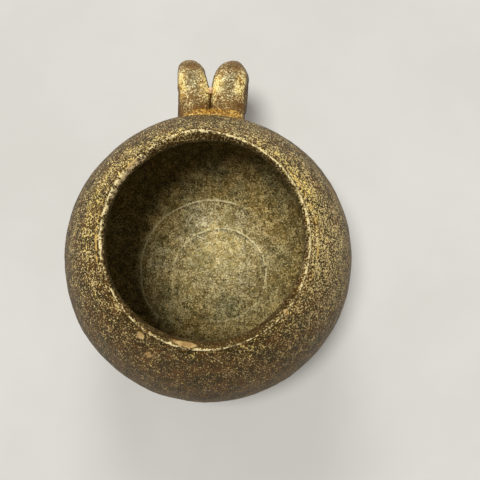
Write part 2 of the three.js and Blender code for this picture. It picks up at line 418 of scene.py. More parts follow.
relief = relief + (0.06 * lumps(grid, 1.9 * MM, 17) + 0.045 * lumps(grid, 1.1 * MM, 18)) * MM
relief = relief + 0.55 * MM * bell(degrees_from(106), 15) * bell(past_lip + 21 * MM, 12 * MM)
relief = relief * off_base
print("relief runs from", round(relief.min() / MM, 2), "to", round(relief.max() / MM, 2), "mm")

# %% [markdown]
# ## Chips and bare spots
# The lip has been knocked a few times, and two small flakes are gone from the shoulder. Each is a
# dent a few tenths of a millimetre deep with a ragged edge, in which pale clay shows. They are
# named by their bearing round the pot and their distance along the wall from the lip.

# %% Chips
CHIPS = [  # bearing in degrees, distance past the lip, half length, half width, depth
    (135.5, -0.1 * MM, 2.9 * MM, 1.0 * MM, 0.18 * MM),
    (238.5, -3.0 * MM, 1.5 * MM, 1.4 * MM, 0.32 * MM),
    (245.0, -8.6 * MM, 1.25 * MM, 1.2 * MM, 0.30 * MM),
    (261.5, 0.9 * MM, 3.8 * MM, 0.8 * MM, 0.22 * MM),
    (318.0, -0.5 * MM, 1.2 * MM, 1.0 * MM, 0.28 * MM),
]
ragged = 1 + 0.35 * lumps(grid, 0.9 * MM, 31) + 0.25 * lumps(grid, 2.2 * MM, 32)


def chip_share(bearing, distance, half_length, half_width):
    """One inside an oval on the wall and nothing outside, where the oval is drawn by the fourth
    power of the distance from its middle, made ragged by noise."""
    along = np.radians(degrees_from(bearing)) * row_radius[:, None] / half_length
    across = (past_lip - distance) / half_width
    return np.exp(-((along**2 + across**2) * ragged) ** 2)


chipped = np.zeros((BODY_ROWS, BODY_COLUMNS))
for bearing, distance, half_length, half_width, depth in CHIPS:
    share = chip_share(bearing, distance, half_length, half_width)
    relief = relief - depth * share
    chipped = np.maximum(chipped, share)
print("chips cover", int((chipped > 0.5).sum()), "points of the grid")

# %% [markdown]
# ## The underside
# The pot was cut from the wheel with a twisted string, which leaves a fan of shallow arcs in the
# base. The arcs are hollows, so the foot still stands flat on its outer rim.

# %% String-cut arcs
ARC_CENTRE = np.array([-64, 12, 0]) * MM
ARC_PITCH = 2.1 * MM
ARC_DEPTH = 0.16 * MM
from_centre = np.linalg.norm(grid - ARC_CENTRE, axis=-1)
arcs = 0.5 + 0.5 * np.sin(2 * math.pi * from_centre / ARC_PITCH + 0.6 * lumps(grid, 6 * MM, 41))
hollow = is_base * eased((FOOT_RADIUS - 2.2 * MM - row_radius[:, None]) / (2 * MM))
base_lift = hollow * (ARC_DEPTH * arcs + 0.1 * MM)

# %% [markdown]
# ## The thrown body
# Now the profile is turned about the axis, moved by the relief along its normal, and shifted by
# the plan of the lip. The masks for the glaze come from the same numbers, so a crest and its
# worn colour can't drift apart.

# %% Build the body
out_along_radius = slope[1][:, None]
out_along_height = -slope[0][:, None]
wall_radius = row_radius[:, None] + relief * out_along_radius + lip_shift
wall_height = row_height[:, None] + relief * out_along_height + lip_lift + base_lift
body_points = np.stack(np.broadcast_arrays(wall_radius * np.cos(angle), wall_radius * np.sin(angle),
                                           np.maximum(wall_height, 0)), axis=-1)

crest_width = (0.34 + 0.55 * bell(degrees_from(97), 18) + 0.8 * bell(degrees_from(150), 26)
               + 0.3 * bell(degrees_from(188), 20) + 0.16 * bell(degrees_from(35), 40)
               + 0.14 * wobble) * MM
crest_wear = (0.72 + 0.4 * bell(degrees_from(50), 55) + 0.25 * bell(degrees_from(262), 25)
              + 0.2 * bell(degrees_from(165), 30) - 0.15 * bell(degrees_from(120), 10))
crest_worn = np.clip(bell(past_lip + 0.1 * MM, crest_width) * crest_wear, 0, 1)
second_wear = (bell(degrees_from(10), 42) + 0.9 * bell(degrees_from(178), 32)
               + 0.6 * bell(degrees_from(88), 18))
second_worn = np.clip(second_wear * bell(past_lip - crest_place, 0.4 * MM), 0, 1)
bevel = bell(past_lip - 1.9 * MM, 1.4 * MM)
tan_bevel = bell(past_lip - 1.0 * MM, 1.3 * MM) * bell(degrees_from(143), 24)
# Worn pale glaze on the floor's rings, brightened round the pot as painted highlight where the light
# catches the ridges. The inner ring is brightest toward the right and back and faint toward the left and
# front. The outer ring is brightest at the back.
inner_ring_wear_and_highlight = (0.5 + 0.5 * bell(degrees_from(35), 60)) * (1 - bell(degrees_from(235), 52))
outer_ring_wear_and_highlight = 0.5 + 0.25 * bell(degrees_from(95), 35)
ring_wear_and_highlight = np.where(inner_ring > outer_ring, inner_ring_wear_and_highlight, outer_ring_wear_and_highlight)
gold_band = 0.08 + (0.5 * bell(past_lip + 3.5 * MM, 3.5 * MM) * bell(degrees_from(35), 36)
                    + 0.5 * bell(past_lip + 6 * MM, 3.5 * MM) * bell(degrees_from(165), 30)
                    + 0.3 * bell(past_lip + 3 * MM, 3 * MM) * bell(degrees_from(115), 26)
                    + 0.2 * bell(past_lip + 4 * MM, 3.5 * MM) * bell(degrees_from(300), 30))


def floor_distance(x, y):
    """How far each point lies from x and y in mm, seen from above."""
    return np.hypot(grid[..., 0] - x * MM, grid[..., 1] - y * MM)


pooled = on_floor * eased((25 * MM - floor_distance(4, 7)) / (17 * MM))
olive = on_floor * np.clip(bell(floor_distance(-4, 4), 6 * MM) + 0.7 * bell(floor_distance(6, -14), 9 * MM)
                           + 0.6 * bell(floor_distance(-17, -12), 7 * MM), 0, 1)
# Paler, clearer glaze where it pooled, and a painted highlight: the small bright spot at x 5.5 mm, y 2.5
# mm stands for the glare of the ceiling lamp on the glossy floor.
pooled_clear_and_glare = (0.6 * pooled * (1 - 0.85 * olive) + 0.75 * bell(floor_distance(5.5, 2.5), 4 * MM)
         + 0.55 * bell(floor_distance(-6, 19), 6 * MM) + 0.4 * bell(floor_distance(-20, 3), 6 * MM))
pooled_clear_and_glare = on_floor * np.clip(pooled_clear_and_glare, 0, 1)
# Painted shadow: the inside wall under the lip is painted nearly black, most toward bearing 120, where the
# lip shades it from the ceiling lamp.
shaded = bell(degrees_from(120), 60)
painted_lip_shadow = is_inside * eased((row_height[:, None] - (28 - 10 * shaded) * MM) / (22 * MM))
painted_lip_shadow = painted_lip_shadow * (0.66 + 0.34 * shaded)
# Painted shade low on the outer belly.
low_wall_shade = eased((-past_lip - 12 * MM) / (18 * MM))
# The share of flecks follows the glaze's own pattern and also paints light. It is raised on the right,
# away from the ceiling lamp, as painted light, and lowered toward the front and low on the belly as
# painted shade.
flecks_and_painted_light = (0.27 - 0.04 * bell(degrees_from(150), 40) - 0.08 * bell(degrees_from(100), 25)
           + 0.22 * bell(degrees_from(355), 28) - 0.1 * bell(degrees_from(272), 55)
           + 0.08 * bell(past_lip + 4 * MM, 4 * MM) - 0.12 * low_wall_shade)
# Painted shade: the outer glaze darkens on the side away from the window lamp and low on the belly.
painted_shade = np.maximum(bell(degrees_from(268), 62), low_wall_shade)
bare_foot = (1 - eased((row_height - FOOT_HEIGHT * 0.8) / (0.8 * MM)))[:, None]
bare_foot = bare_foot * (row_run < lip_run)[:, None]
body = skin("thrown_body", body_points, {
    "inside": is_inside,
    "crest": crest_worn,
    "second_crest": second_worn,
    "bevel": bevel,
    "tan_bevel": tan_bevel,
    "ring": np.maximum(inner_ring, outer_ring),
    "ring_wear_and_highlight": ring_wear_and_highlight,
    "gold": np.clip(gold_band, 0, 1),
    "flecks_and_painted_light": np.clip(flecks_and_painted_light, 0, 1),
    "painted_shade": painted_shade,
    "painted_lip_shadow": painted_lip_shadow,
    "pooled": pooled,
    "olive": olive,
    "pooled_clear_and_glare": pooled_clear_and_glare,
    "chip": chipped,
    "bare": bare_foot,
})

# %% [markdown]
# ## The loops
# Each loop is a fat coil of clay, flattened between the hands and bent over so that both ends meet
# the wall, one above the other. A bevelled curve could follow that bend, but it would keep one
# round section. Here an oval section, a little squared, is carried along the same line as the
# packed loops, drawn in toward the tip and leaned away from its neighbour.

# %% Sizes of the loops
left_low, left_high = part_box("left_loop")
LOOP_REACH = left_high.y
LOOP_MIDDLE = (left_low.z + left_high.z) / 2
LOOP_CORE = 10.5 * MM
COIL_THICKNESS = left_high.z - left_low.z - 2 * LOOP_CORE
GROOVE_OFFSET = -0.45 * MM
NARROWING_LENGTH = 16 * MM
TIP_NARROWING = 2.2 * MM
ROOT_PINCH = 0.3 * MM
COIL_START = BELLY_RADIUS - 3.5 * MM
SECTION_POWER = 2.2
COIL_ROWS = 190
COIL_COLUMNS = 96
COILS = {  # side of the groove, width, lean away from it at the tip, and how far the tip lies back
    "left_coil": (-1, 11.45 * MM, 2.35 * MM, 0),
    "right_coil": (1, 12.95 * MM, 1.9 * MM, 3.0 * MM),
}
print("coil thickness in mm:", round(COIL_THICKNESS / MM, 2), "reach:", round(LOOP_REACH / MM, 2))


# %% The line of a loop
def loop_line(share):
    """The centre line for shares 0 to 1 of its length: out from the wall, half round the eye, and
    back to the wall, with the tilt of the direction that points away from the eye."""
    bend_reach = LOOP_REACH - COIL_THICKNESS / 2 - LOOP_CORE
    arm = bend_reach - COIL_START
    bend = math.pi * LOOP_CORE
    run = share * (2 * arm + bend)
    tilt = math.pi / 2 - np.clip((run - arm) / LOOP_CORE, 0, math.pi)
    past_arm = np.minimum(run, arm) - arm
    before_end = np.minimum(2 * arm + bend - run, arm) - arm
    reach = bend_reach + past_arm + before_end + LOOP_CORE * np.cos(tilt)
    height = LOOP_MIDDLE + LOOP_CORE * np.sin(tilt)
    return reach, height, tilt


def section(turn, width, thickness):
    """A squared oval: the cosine and sine of the turn, each raised to two over the power."""
    power = 2 / SECTION_POWER
    across = np.sign(np.cos(turn)) * np.abs(np.cos(turn)) ** power * width / 2
    away = np.sign(np.sin(turn)) * np.abs(np.sin(turn)) ** power * thickness / 2
    return across, away


def placed_beside_groove(points, side, width, lean, setback):
    """Moves a coil to its side of the groove, draws it in and leans it out toward its tip by the
    share of the narrowing length, and lays the outer half of the tip back by the square of the
    share of its width."""
    to_tip = np.clip((points[..., 1] - LOOP_REACH + NARROWING_LENGTH) / NARROWING_LENGTH, 0, 1)
    outward = np.maximum(points[..., 0] / (width / 2), 0)
    x = points[..., 0] * (1 - TIP_NARROWING / width * to_tip)
    x = x - ROOT_PINCH * (1 - eased(to_tip / 0.12))
    x = GROOVE_OFFSET + side * (x + width / 2 + lean * to_tip)
    y = points[..., 1] - setback * outward**2 * to_tip
    return np.stack([x, y, points[..., 2]], -1)


def loop_points(side, width, lean, setback, seed):
    """The section carried along the line, with lumps added along its own outward direction."""
    share = np.linspace(0, 1, COIL_ROWS)[:, None]
    turn = np.linspace(0, 2 * math.pi, COIL_COLUMNS, endpoint=False)[None, :]
    reach, height, tilt = loop_line(share)
    across, away = section(-side * turn, width, COIL_THICKNESS)
    plain = np.stack(np.broadcast_arrays(across, reach + away * np.cos(tilt),
                                         height + away * np.sin(tilt)), -1)
    swell = (0.32 * lumps(plain, 7 * MM, seed) + 0.16 * lumps(plain, 3.1 * MM, seed + 1)
             + 0.07 * lumps(plain, 1.2 * MM, seed + 2)) * MM
    grown_across, grown_away = across / (width / 2), away / (COIL_THICKNESS / 2)
    outward = np.stack(np.broadcast_arrays(grown_across, grown_away * np.cos(tilt),
                                           grown_away * np.sin(tilt)), -1)
    plain = plain + outward * swell[..., None]
    return placed_beside_groove(plain, side, width, lean, setback), grown_across, share


# %% Build the loops
def loop_piece(name, seed):
    """A loop with masks: gold lies near the two long edges, grey along the middle, tip grows toward the
    outermost clay and root toward the wall, and drop is a pale bead of glaze on the right loop. Painted
    shade lies on the outermost strips of the long edges and in the groove where the coils meet. The tip
    and root masks carry painted shade too."""
    points, across, share = loop_points(*COILS[name], seed)
    reach = points[..., 1]
    drift = 0.5 * lumps(points, 4.5 * MM, seed + 3)
    halfway = bell(reach - BELLY_RADIUS - 10 * MM + 3 * MM * drift, 6 * MM)
    from_drop = np.hypot(points[..., 0] - 11.2 * MM, points[..., 1] - 65.6 * MM)
    return skin(name, points, {
        "drop": eased((1.0 * MM - from_drop) / (0.6 * MM)) * (points[..., 2] > LOOP_MIDDLE),
        "gold": bell(np.abs(across + 0.3 * drift) - 0.72, 0.3) * np.minimum(1.1 * halfway, 1),
        "grey": (1 - np.abs(across + 0.2 * drift) ** 1.5) * halfway,
        "painted_edge_shade": eased((np.abs(across) - 0.87 + 0.06 * drift) / 0.09) + 0 * share,
        "tip": eased((reach - LOOP_REACH + 9 * MM) / (6 * MM) + 0.5 * drift + 0.25 * across**2),
        "root": 1 - eased((reach - BELLY_RADIUS - 1.5 * MM) / (4.5 * MM) + 0.5 * drift),
        "painted_crease_shade": (bell(across + 1, 0.13 + 0.1 * drift)
                   * (1 - eased((reach - BELLY_RADIUS - 8 * MM) / (3 * MM)))),
    })


left_loop, right_loop = loop_piece("left_coil", 51), loop_piece("right_coil", 61)

# %% [markdown]
# ## The strips at the roots
# Soft clay was smeared round both pairs of coil ends so that they hold. It lies on the curved wall
# in a slot shape, thin at its rim, and climbs against the coils in a small fillet. A sculpted blob
# would do, but a height over the wall, worked out from the distance to the coils, keeps the strip
# seated wherever the wall curves.

# %% Build the strips
STRIP_MARGIN = 1.2 * MM
STRIP_THICKNESS = 1.5 * MM
FILLET_HEIGHT = 1.7 * MM
FILLET_WIDTH = 0.95 * MM
STRIP_SINK = 0.8 * MM
STRIP_ROWS = 60
STRIP_COLUMNS = 240


def wall_place(x, z):
    """The point of the plain outer wall at x and z on the loops' side, and the wall's normal."""
    step = FOOT_RADIUS + FOOT_STEP
    below = outside_height(step, BELLY_HEIGHT - FOOT_HEIGHT)
    above = outside_height(LIP_RADIUS, LIP_HEIGHT - BELLY_HEIGHT)
    half = np.where(z > BELLY_HEIGHT, above, below)
    radius = BELLY_RADIUS * np.sqrt(1 - ((z - BELLY_HEIGHT) / half) ** 2)
    y = np.sqrt(radius**2 - x**2)
    normal = np.stack([x / BELLY_RADIUS**2, y / BELLY_RADIUS**2, (z - BELLY_HEIGHT) / half**2], -1)
    return np.stack([x, y, z], -1), normal / np.linalg.norm(normal, axis=-1, keepdims=True)


def coil_distance(x, z, middle):
    """Roughly how far a point lies outside the nearer coil's oval end, at the coil's root."""
    found = []
    for side, width, *_ in COILS.values():
        centre = GROOVE_OFFSET + side * width / 2
        share = np.hypot((x - centre) / (width / 2), (z - middle) / (COIL_THICKNESS / 2))
        found.append((share - 1) * COIL_THICKNESS / 2)
    return np.minimum(*found)


def slot_outline(turn, half_length, radius):
    """A slot round its middle: the cosine carries it along, squared off, and the sine across."""
    along = np.sign(np.cos(turn)) * np.abs(np.cos(turn)) ** 0.62 * half_length
    return along, np.sin(turn) * radius


def strip_piece(name, middle, seed):
    """Rows run from the middle of the outer face out to the rim and back under it to the wall."""
    turn = np.linspace(0, 2 * math.pi, STRIP_COLUMNS, endpoint=False)[None, :]
    share = np.linspace(0.02, 1.98, STRIP_ROWS)[:, None]
    out = np.minimum(share, 2 - share)
    left_width, right_width = (width for _, width, *_ in COILS.values())
    half_length = (left_width + right_width) / 2 + STRIP_MARGIN / 3
    radius = COIL_THICKNESS / 2 + STRIP_MARGIN
    along, across = slot_outline(turn, half_length, radius)
    rim = np.stack(np.broadcast_arrays(along, across, 0 * along), -1)
    ragged_rim = 1 + 0.05 * lumps(rim, 3.5 * MM, seed) + 0.03 * lumps(rim, 1.4 * MM, seed + 1)
    x = GROOVE_OFFSET + (right_width - left_width) / 2 + out * along * ragged_rim
    z = middle + out * across * ragged_rim
    wall, normal = wall_place(x, z)
    gap = coil_distance(x, z, middle)
    climb = FILLET_HEIGHT * np.exp(-np.maximum(gap, 0) / FILLET_WIDTH)
    body_height = STRIP_THICKNESS * (1 - out**6) * 0.6
    rough = (0.22 * lumps(wall, 2.6 * MM, seed + 2) + 0.1 * lumps(wall, 1.1 * MM, seed + 3)) * MM
    height = (body_height + climb + rough * (1 - out**8)) * eased((1 - out) / 0.22)
    height = np.where(share > 1, -STRIP_SINK * (1 - out**4), height)
    points = wall + normal * height[..., None]
    return skin(name, points, {
        "fillet": np.where(share > 1, 0, np.exp(-np.maximum(gap, 0) / FILLET_WIDTH)),
        "rim": eased((out - 0.75) / 0.2) + 0 * turn,
    })


upper_low, upper_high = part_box("upper_clay_strip")
lower_low, lower_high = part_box("lower_clay_strip")
upper_strip = strip_piece("upper_joint_clay", (upper_low.z + upper_high.z) / 2, 71)
lower_strip = strip_piece("lower_joint_clay", (lower_low.z + lower_high.z) / 2, 81)

# %% [markdown]
# ## The wad in the groove
# A crumb of pale clay was pushed between the coils to keep them together. It stayed nearly bare
# of glaze. A sphere with three sizes of lumps, flattened where the coils press on it, is enough.

# %% Build the wad
WAD_ROWS = 40
WAD_COLUMNS = 64
wad_low, wad_high = (np.array(corner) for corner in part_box("bridging_wad"))
WAD_HALF = np.array([1.15, 1.1, 1.8]) * MM
wad_middle = np.array([(wad_low[0] + wad_high[0]) / 2, (wad_low[1] + wad_high[1]) / 2,
                       wad_high[2] - WAD_HALF[2]])
down = np.linspace(0.03, math.pi - 0.03, WAD_ROWS)[::-1, None]
turn = np.linspace(0, 2 * math.pi, WAD_COLUMNS, endpoint=False)[None, :]
ball = np.stack(np.broadcast_arrays(np.sin(down) * np.cos(turn), np.sin(down) * np.sin(turn),
                                    np.cos(down)), -1)
swell = 1 + 0.24 * lumps(ball, 0.8, 91) + 0.16 * lumps(ball, 0.4, 92) + 0.07 * lumps(ball, 0.2, 93)
wad = skin("wad_clay", wad_middle + ball * swell[..., None] * WAD_HALF, {"pale": 0 * down + 0 * turn})

# %% [markdown]
# ## Node groups for glaze and clay
# The glaze is the pot's character: a dark iron ground crowded with fine worm-like flecks of tan,
# clouded with gold and rust, and broken to cream where it ran thin over a crest. Several pieces
# share it, so it is built once as a node group, and each material places it with its own colours
# and shares. Small helpers keep the node trees readable.

# %% Node helpers
def srgb(red, green, blue):
    """A colour as a screen shows it, from 0 to 255, turned into the light that shaders use."""
    parts = np.array([red, green, blue]) / 255
    light = np.where(parts <= 0.04045, parts / 12.92, ((parts + 0.055) / 1.055) ** 2.4)
    return (*light.tolist(), 1.0)


def add(tree, kind, sockets, **settings):
    """A new node: settings are its own options, and sockets gives its inputs by name or number,
    each as a value or as the output that feeds it."""
    node = tree.nodes.new(kind)
    for option, value in settings.items():
        setattr(node, option, value)
    for name, value in sockets.items():
        if isinstance(value, bpy.types.NodeSocket):
            tree.links.new(value, node.inputs[name])
        else:
            node.inputs[name].default_value = value
    return node


def calc(tree, operation, first, second=0.0, clamp=False):
    node = add(tree, "ShaderNodeMath", {0: first, 1: second}, operation=operation, use_clamp=clamp)
    return node.outputs[0]


def eased_range(tree, value, low, high):
    """0 below low, 1 above high, and the smoothstep curve between."""
    sockets = {"Value": value, "From Min": low, "From Max": high}
    node = add(tree, "ShaderNodeMapRange", sockets, interpolation_type="SMOOTHSTEP")
    return node.outputs["Result"]


def mixed(tree, share, below, above):
    """The colour below, covered by the colour above in that share."""
    sockets = {"Factor": share, 6: below, 7: above}
    node = add(tree, "ShaderNodeMix", sockets, data_type="RGBA", blend_type="MIX")
    return node.outputs[2]


def noise(tree, vector, scale, detail, rough=0.5, distortion=0.0):
    sockets = {"Vector": vector, "Scale": scale, "Detail": detail, "Roughness": rough,
               "Distortion": distortion}
    return add(tree, "ShaderNodeTexNoise", sockets).outputs["Fac"]


def new_group(name, inputs, outputs):
    """An empty node group with named sockets, and its input and output nodes."""
    tree = bpy.data.node_groups.new(name, "ShaderNodeTree")
    for socket, kind in inputs.items():
        tree.interface.new_socket(socket, in_out="INPUT", socket_type="NodeSocket" + kind)
    for socket, kind in outputs.items():
        tree.interface.new_socket(socket, in_out="OUTPUT", socket_type="NodeSocket" + kind)
    return tree, tree.nodes.new("NodeGroupInput").outputs, tree.nodes.new("NodeGroupOutput").inputs


def place_group(tree, group, sockets):
    node = tree.nodes.new("ShaderNodeGroup")
    node.node_tree = group
    for name, value in sockets.items():
        if isinstance(value, bpy.types.NodeSocket):
            tree.links.new(value, node.inputs[name])
        else:
            node.inputs[name].default_value = value
    return node.outputs


# %% The speckled glaze group
PER_MM = 1 / MM


def speckled_glaze_group():
    """Flecks stand where fine noise is above a level. The level falls with the share asked for,
    and with slower noise, so that the flecks crowd. Under them the ground clears to a veil and
    clouds with rust. Where gold gathers the flecks take its colour and join into mottles."""
    inputs = {"Vector": "Vector", "Ground": "Color", "Veil": "Color", "Fleck": "Color",
              "Rust": "Color", "Gold": "Color", "Flecks per mm": "Float", "Fleck share": "Float",
              "Rust share": "Float", "Gold share": "Float", "Crowding": "Float"}
    outputs = {"Color": "Color", "Height": "Float", "Dullness": "Float"}
    tree, given, gives = new_group("speckled glaze", inputs, outputs)
    vector = given["Vector"]
    scale = calc(tree, "MULTIPLY", given["Flecks per mm"], PER_MM)
    grain = noise(tree, vector, scale, 1.5, 0.7, 0.5)
    crowd = calc(tree, "SUBTRACT", noise(tree, vector, 0.3 * PER_MM, 3.0, 0.6), 0.5)
    level = calc(tree, "ADD", calc(tree, "MULTIPLY", crowd, given["Crowding"]), grain)
    level = calc(tree, "ADD", level, calc(tree, "MULTIPLY", given["Fleck share"], 0.24))
    fleck = eased_range(tree, level, 0.62, 0.69)
    veil = eased_range(tree, noise(tree, vector, 0.7 * PER_MM, 4.0, 0.65), 0.4, 0.6)
    rust = eased_range(tree, noise(tree, vector, 0.21 * PER_MM, 5.0, 0.7, 0.6), 0.44, 0.62)
    rust = calc(tree, "MULTIPLY", rust, given["Rust share"], clamp=True)
    gold = calc(tree, "ADD", noise(tree, vector, 0.5 * PER_MM, 4.0, 0.7, 0.9),
                calc(tree, "MULTIPLY", given["Gold share"], 0.3))
    gold = eased_range(tree, gold, 0.6, 0.74)
    mottle = calc(tree, "ADD", noise(tree, vector, 0.9 * PER_MM, 3.0, 0.75, 0.8),
                  calc(tree, "MULTIPLY", given["Gold share"], 0.2))
    mottle = eased_range(tree, mottle, 0.66, 0.7)
    colour = mixed(tree, veil, given["Ground"], given["Veil"])
    colour = mixed(tree, rust, colour, given["Rust"])
    colour = mixed(tree, fleck, colour, mixed(tree, gold, given["Fleck"], given["Gold"]))
    tree.links.new(mixed(tree, mottle, colour, given["Gold"]), gives["Color"])
    tree.links.new(grain, gives["Height"])
    tree.links.new(eased_range(tree, grain, 0.3, 0.7), gives["Dullness"])
    return tree


# %% The worn edge and bare clay groups
def worn_edge_group():
    """A mask from 0 to 1 that is eaten into by noise, so that a worn crest breaks into dashes."""
    tree, given, gives = new_group(
        "worn edge", {"Vector": "Vector", "Mask": "Float", "Raggedness": "Float"}, {"Mask": "Float"})
    dashes = noise(tree, given["Vector"], 0.5 * PER_MM, 4.0, 0.65)
    crumbs = noise(tree, given["Vector"], 1.5 * PER_MM, 2.0, 0.6)
    eaten = calc(tree, "ADD", calc(tree, "MULTIPLY", dashes, 0.6), calc(tree, "MULTIPLY", crumbs, 0.4))
    eaten = calc(tree, "MULTIPLY", calc(tree, "SUBTRACT", 1.0, eased_range(tree, eaten, 0.42, 0.6)),
                 given["Raggedness"])
    left = calc(tree, "SUBTRACT", given["Mask"], eaten)
    tree.links.new(eased_range(tree, left, 0.12, 0.55), gives["Mask"])
    return tree


def bare_clay_group():
    """Fired clay: two tans clouded together, and dark grains of iron in it."""
    inputs = {"Vector": "Vector", "Clay": "Color", "Shade": "Color", "Iron": "Color"}
    tree, given, gives = new_group("bare clay", inputs, {"Color": "Color", "Height": "Float"})
    cloud = eased_range(tree, noise(tree, given["Vector"], 0.5 * PER_MM, 4.0, 0.6), 0.4, 0.62)
    grain = noise(tree, given["Vector"], 2.4 * PER_MM, 2.0, 0.6)
    iron = eased_range(tree, grain, 0.6, 0.68)
    colour = mixed(tree, cloud, given["Clay"], given["Shade"])
    tree.links.new(mixed(tree, iron, colour, given["Iron"]), gives["Color"])
    tree.links.new(grain, gives["Height"])
    return tree


speckled_glaze = speckled_glaze_group()
worn_edge = worn_edge_group()
bare_clay = bare_clay_group()
print("node groups:", [group.name for group in bpy.data.node_groups])

# %% [markdown]
# ## The glaze on the body
# Outside, the ground is nearly black-brown with crowded tan flecks, and gold and rust gather on the
# shoulder below the lip. Inside, the same glaze pooled thicker: it is olive, calmer and clouded.
# The masks that came with the mesh say where cream breaks through and where the clay is bare, and where
# shade and highlights are painted into the colour.

# %% Colours
CREAM = srgb(242, 222, 166)
TAN_CLAY = srgb(210, 178, 120)
PINK_CLAY = srgb(172, 136, 84)
IRON_SPECK = srgb(88, 60, 34)


# %% Shared material parts
def new_material(name):
    material = bpy.data.materials.new(name)
    material.use_nodes = True
    tree = material.node_tree
    shader = tree.nodes["Principled BSDF"]
    shader.inputs["Specular IOR Level"].default_value = 0.42
    shader.inputs["Specular Tint"].default_value = srgb(255, 220, 124)
    vector = add(tree, "ShaderNodeTexCoord", {}).outputs["Object"]
    return material, tree, shader, vector


def mask(tree, name):
    return add(tree, "ShaderNodeAttribute", {}, attribute_name=name).outputs["Fac"]


def finish_surface(tree, shader, colour, height, dullness, gloss_range, depth):
    """Feeds colour, roughness between the two ends of gloss_range, and a fine bump."""
    tree.links.new(colour, shader.inputs["Base Color"])
    sockets = {"Value": dullness, "To Min": gloss_range[0], "To Max": gloss_range[1]}
    roughness = add(tree, "ShaderNodeMapRange", sockets).outputs["Result"]
    tree.links.new(roughness, shader.inputs["Roughness"])
    bump = add(tree, "ShaderNodeBump", {"Height": height, "Distance": depth, "Strength": 1.0})
    tree.links.new(bump.outputs["Normal"], shader.inputs["Normal"])


def clay_parts(tree, vector):
    return place_group(tree, bare_clay, {"Vector": vector, "Clay": TAN_CLAY, "Shade": PINK_CLAY,
                                         "Iron": IRON_SPECK})


def worn(tree, vector, name, raggedness):
    sockets = {"Vector": vector, "Mask": mask(tree, name), "Raggedness": raggedness}
    return place_group(tree, worn_edge, sockets)["Mask"]


# %% Body glaze
def body_glaze():
    material, tree, shader, vector = new_material("body glaze")
    inside, pooled = mask(tree, "inside"), mask(tree, "pooled")
    # Painted shade: darker outer ground, veil and flecks on the side away from the window lamp and low on
    # the belly.
    painted_shade = mask(tree, "painted_shade")
    # The fleck share also carries painted light on the right and painted shade toward the front and low
    # down.
    outer = place_group(tree, speckled_glaze, {
        "Vector": vector, "Ground": mixed(tree, painted_shade, srgb(33, 22, 6), srgb(24, 15, 4)),
        "Veil": mixed(tree, painted_shade, srgb(66, 48, 16), srgb(50, 36, 14)),
        "Fleck": mixed(tree, painted_shade, srgb(244, 218, 152), srgb(182, 154, 104)),
        "Rust": srgb(98, 60, 22), "Gold": srgb(255, 225, 132), "Flecks per mm": 1.9,
        "Fleck share": mask(tree, "flecks_and_painted_light"), "Rust share": 0.55,
        "Gold share": mask(tree, "gold"), "Crowding": 0.3})
    slow = eased_range(tree, noise(tree, vector, 0.08 * PER_MM, 3.0, 0.6), 0.4, 0.6)
    cooled = calc(tree, "MAXIMUM", calc(tree, "MULTIPLY", slow, 0.4), mask(tree, "olive"))
    pooled_clear_and_glare = mask(tree, "pooled_clear_and_glare")

    def clouded(tan, olive, pale_pool_and_glare):
        """A colour that drifts between tan and olive, and turns pale where the glaze pooled and where a
        highlight is painted on the floor.
        """
        return mixed(tree, pooled_clear_and_glare, mixed(tree, cooled, srgb(*tan), srgb(*olive)), srgb(*pale_pool_and_glare))

    inner = place_group(tree, speckled_glaze, {
        "Vector": vector, "Ground": clouded((62, 50, 23), (57, 61, 43), (84, 79, 51)),
        "Veil": clouded((131, 110, 62), (102, 107, 85), (157, 149, 112)),
        "Fleck": clouded((201, 177, 117), (152, 155, 121), (233, 224, 188)),
        "Rust": srgb(126, 100, 50), "Gold": srgb(208, 178, 112), "Flecks per mm": 1.8,
        "Fleck share": 0.42, "Rust share": 0.4, "Gold share": 0.2, "Crowding": 0.5})
    clay = clay_parts(tree, vector)
    colour = mixed(tree, calc(tree, "MULTIPLY", mask(tree, "bevel"), 0.6), outer["Color"],
                   srgb(58, 40, 22))
    colour = mixed(tree, calc(tree, "MULTIPLY", worn(tree, vector, "tan_bevel", 0.75), 0.9), colour,
                   srgb(244, 214, 160))
    patch = noise(tree, vector, 0.2 * PER_MM, 4.0, 0.65)
    dark_patch = calc(tree, "MULTIPLY", eased_range(tree, patch, 0.5, 0.36), 0.35)
    inner_colour = mixed(tree, dark_patch, inner["Color"], srgb(58, 50, 24))
    pale_patch = calc(tree, "MULTIPLY", eased_range(tree, patch, 0.53, 0.68),
                      calc(tree, "ADD", 0.1, calc(tree, "MULTIPLY", pooled, 0.25)))
    inner_colour = mixed(tree, pale_patch, inner_colour, srgb(210, 194, 132))
    colour = mixed(tree, inside, colour, inner_colour)
    # Painted shadow on the inside wall under the lip.
    colour = mixed(tree, calc(tree, "MULTIPLY", mask(tree, "painted_lip_shadow"), 0.95), colour,
                   srgb(31, 20, 5))
    colour = mixed(tree, worn(tree, vector, "second_crest", 0.85), colour, srgb(220, 180, 100))
    colour = mixed(tree, worn(tree, vector, "crest", 0.75), colour, CREAM)
    # Pale worn rings, with painted highlight where the light catches them.
    ring = calc(tree, "MULTIPLY", worn(tree, vector, "ring", 0.5), mask(tree, "ring_wear_and_highlight"))
    colour = mixed(tree, ring, colour, srgb(236, 224, 172))
    bare = calc(tree, "MAXIMUM", mask(tree, "bare"), worn(tree, vector, "chip", 0.2))
    colour = mixed(tree, bare, colour, clay["Color"])
    dull = calc(tree, "ADD", calc(tree, "MULTIPLY", outer["Dullness"], 0.5), 0.3)
    dull = calc(tree, "SUBTRACT", dull, calc(tree, "MULTIPLY", pooled, 0.4))
    dull = calc(tree, "MAXIMUM", dull, bare)
    smoothed = calc(tree, "SUBTRACT", 1.0, calc(tree, "MULTIPLY", pooled, 0.7))
    height = calc(tree, "MULTIPLY", outer["Height"], smoothed)
    finish_surface(tree, shader, colour, height, dull, (0.25, 0.8), 0.3 * MM)
    return material


body.data.materials.append(body_glaze())
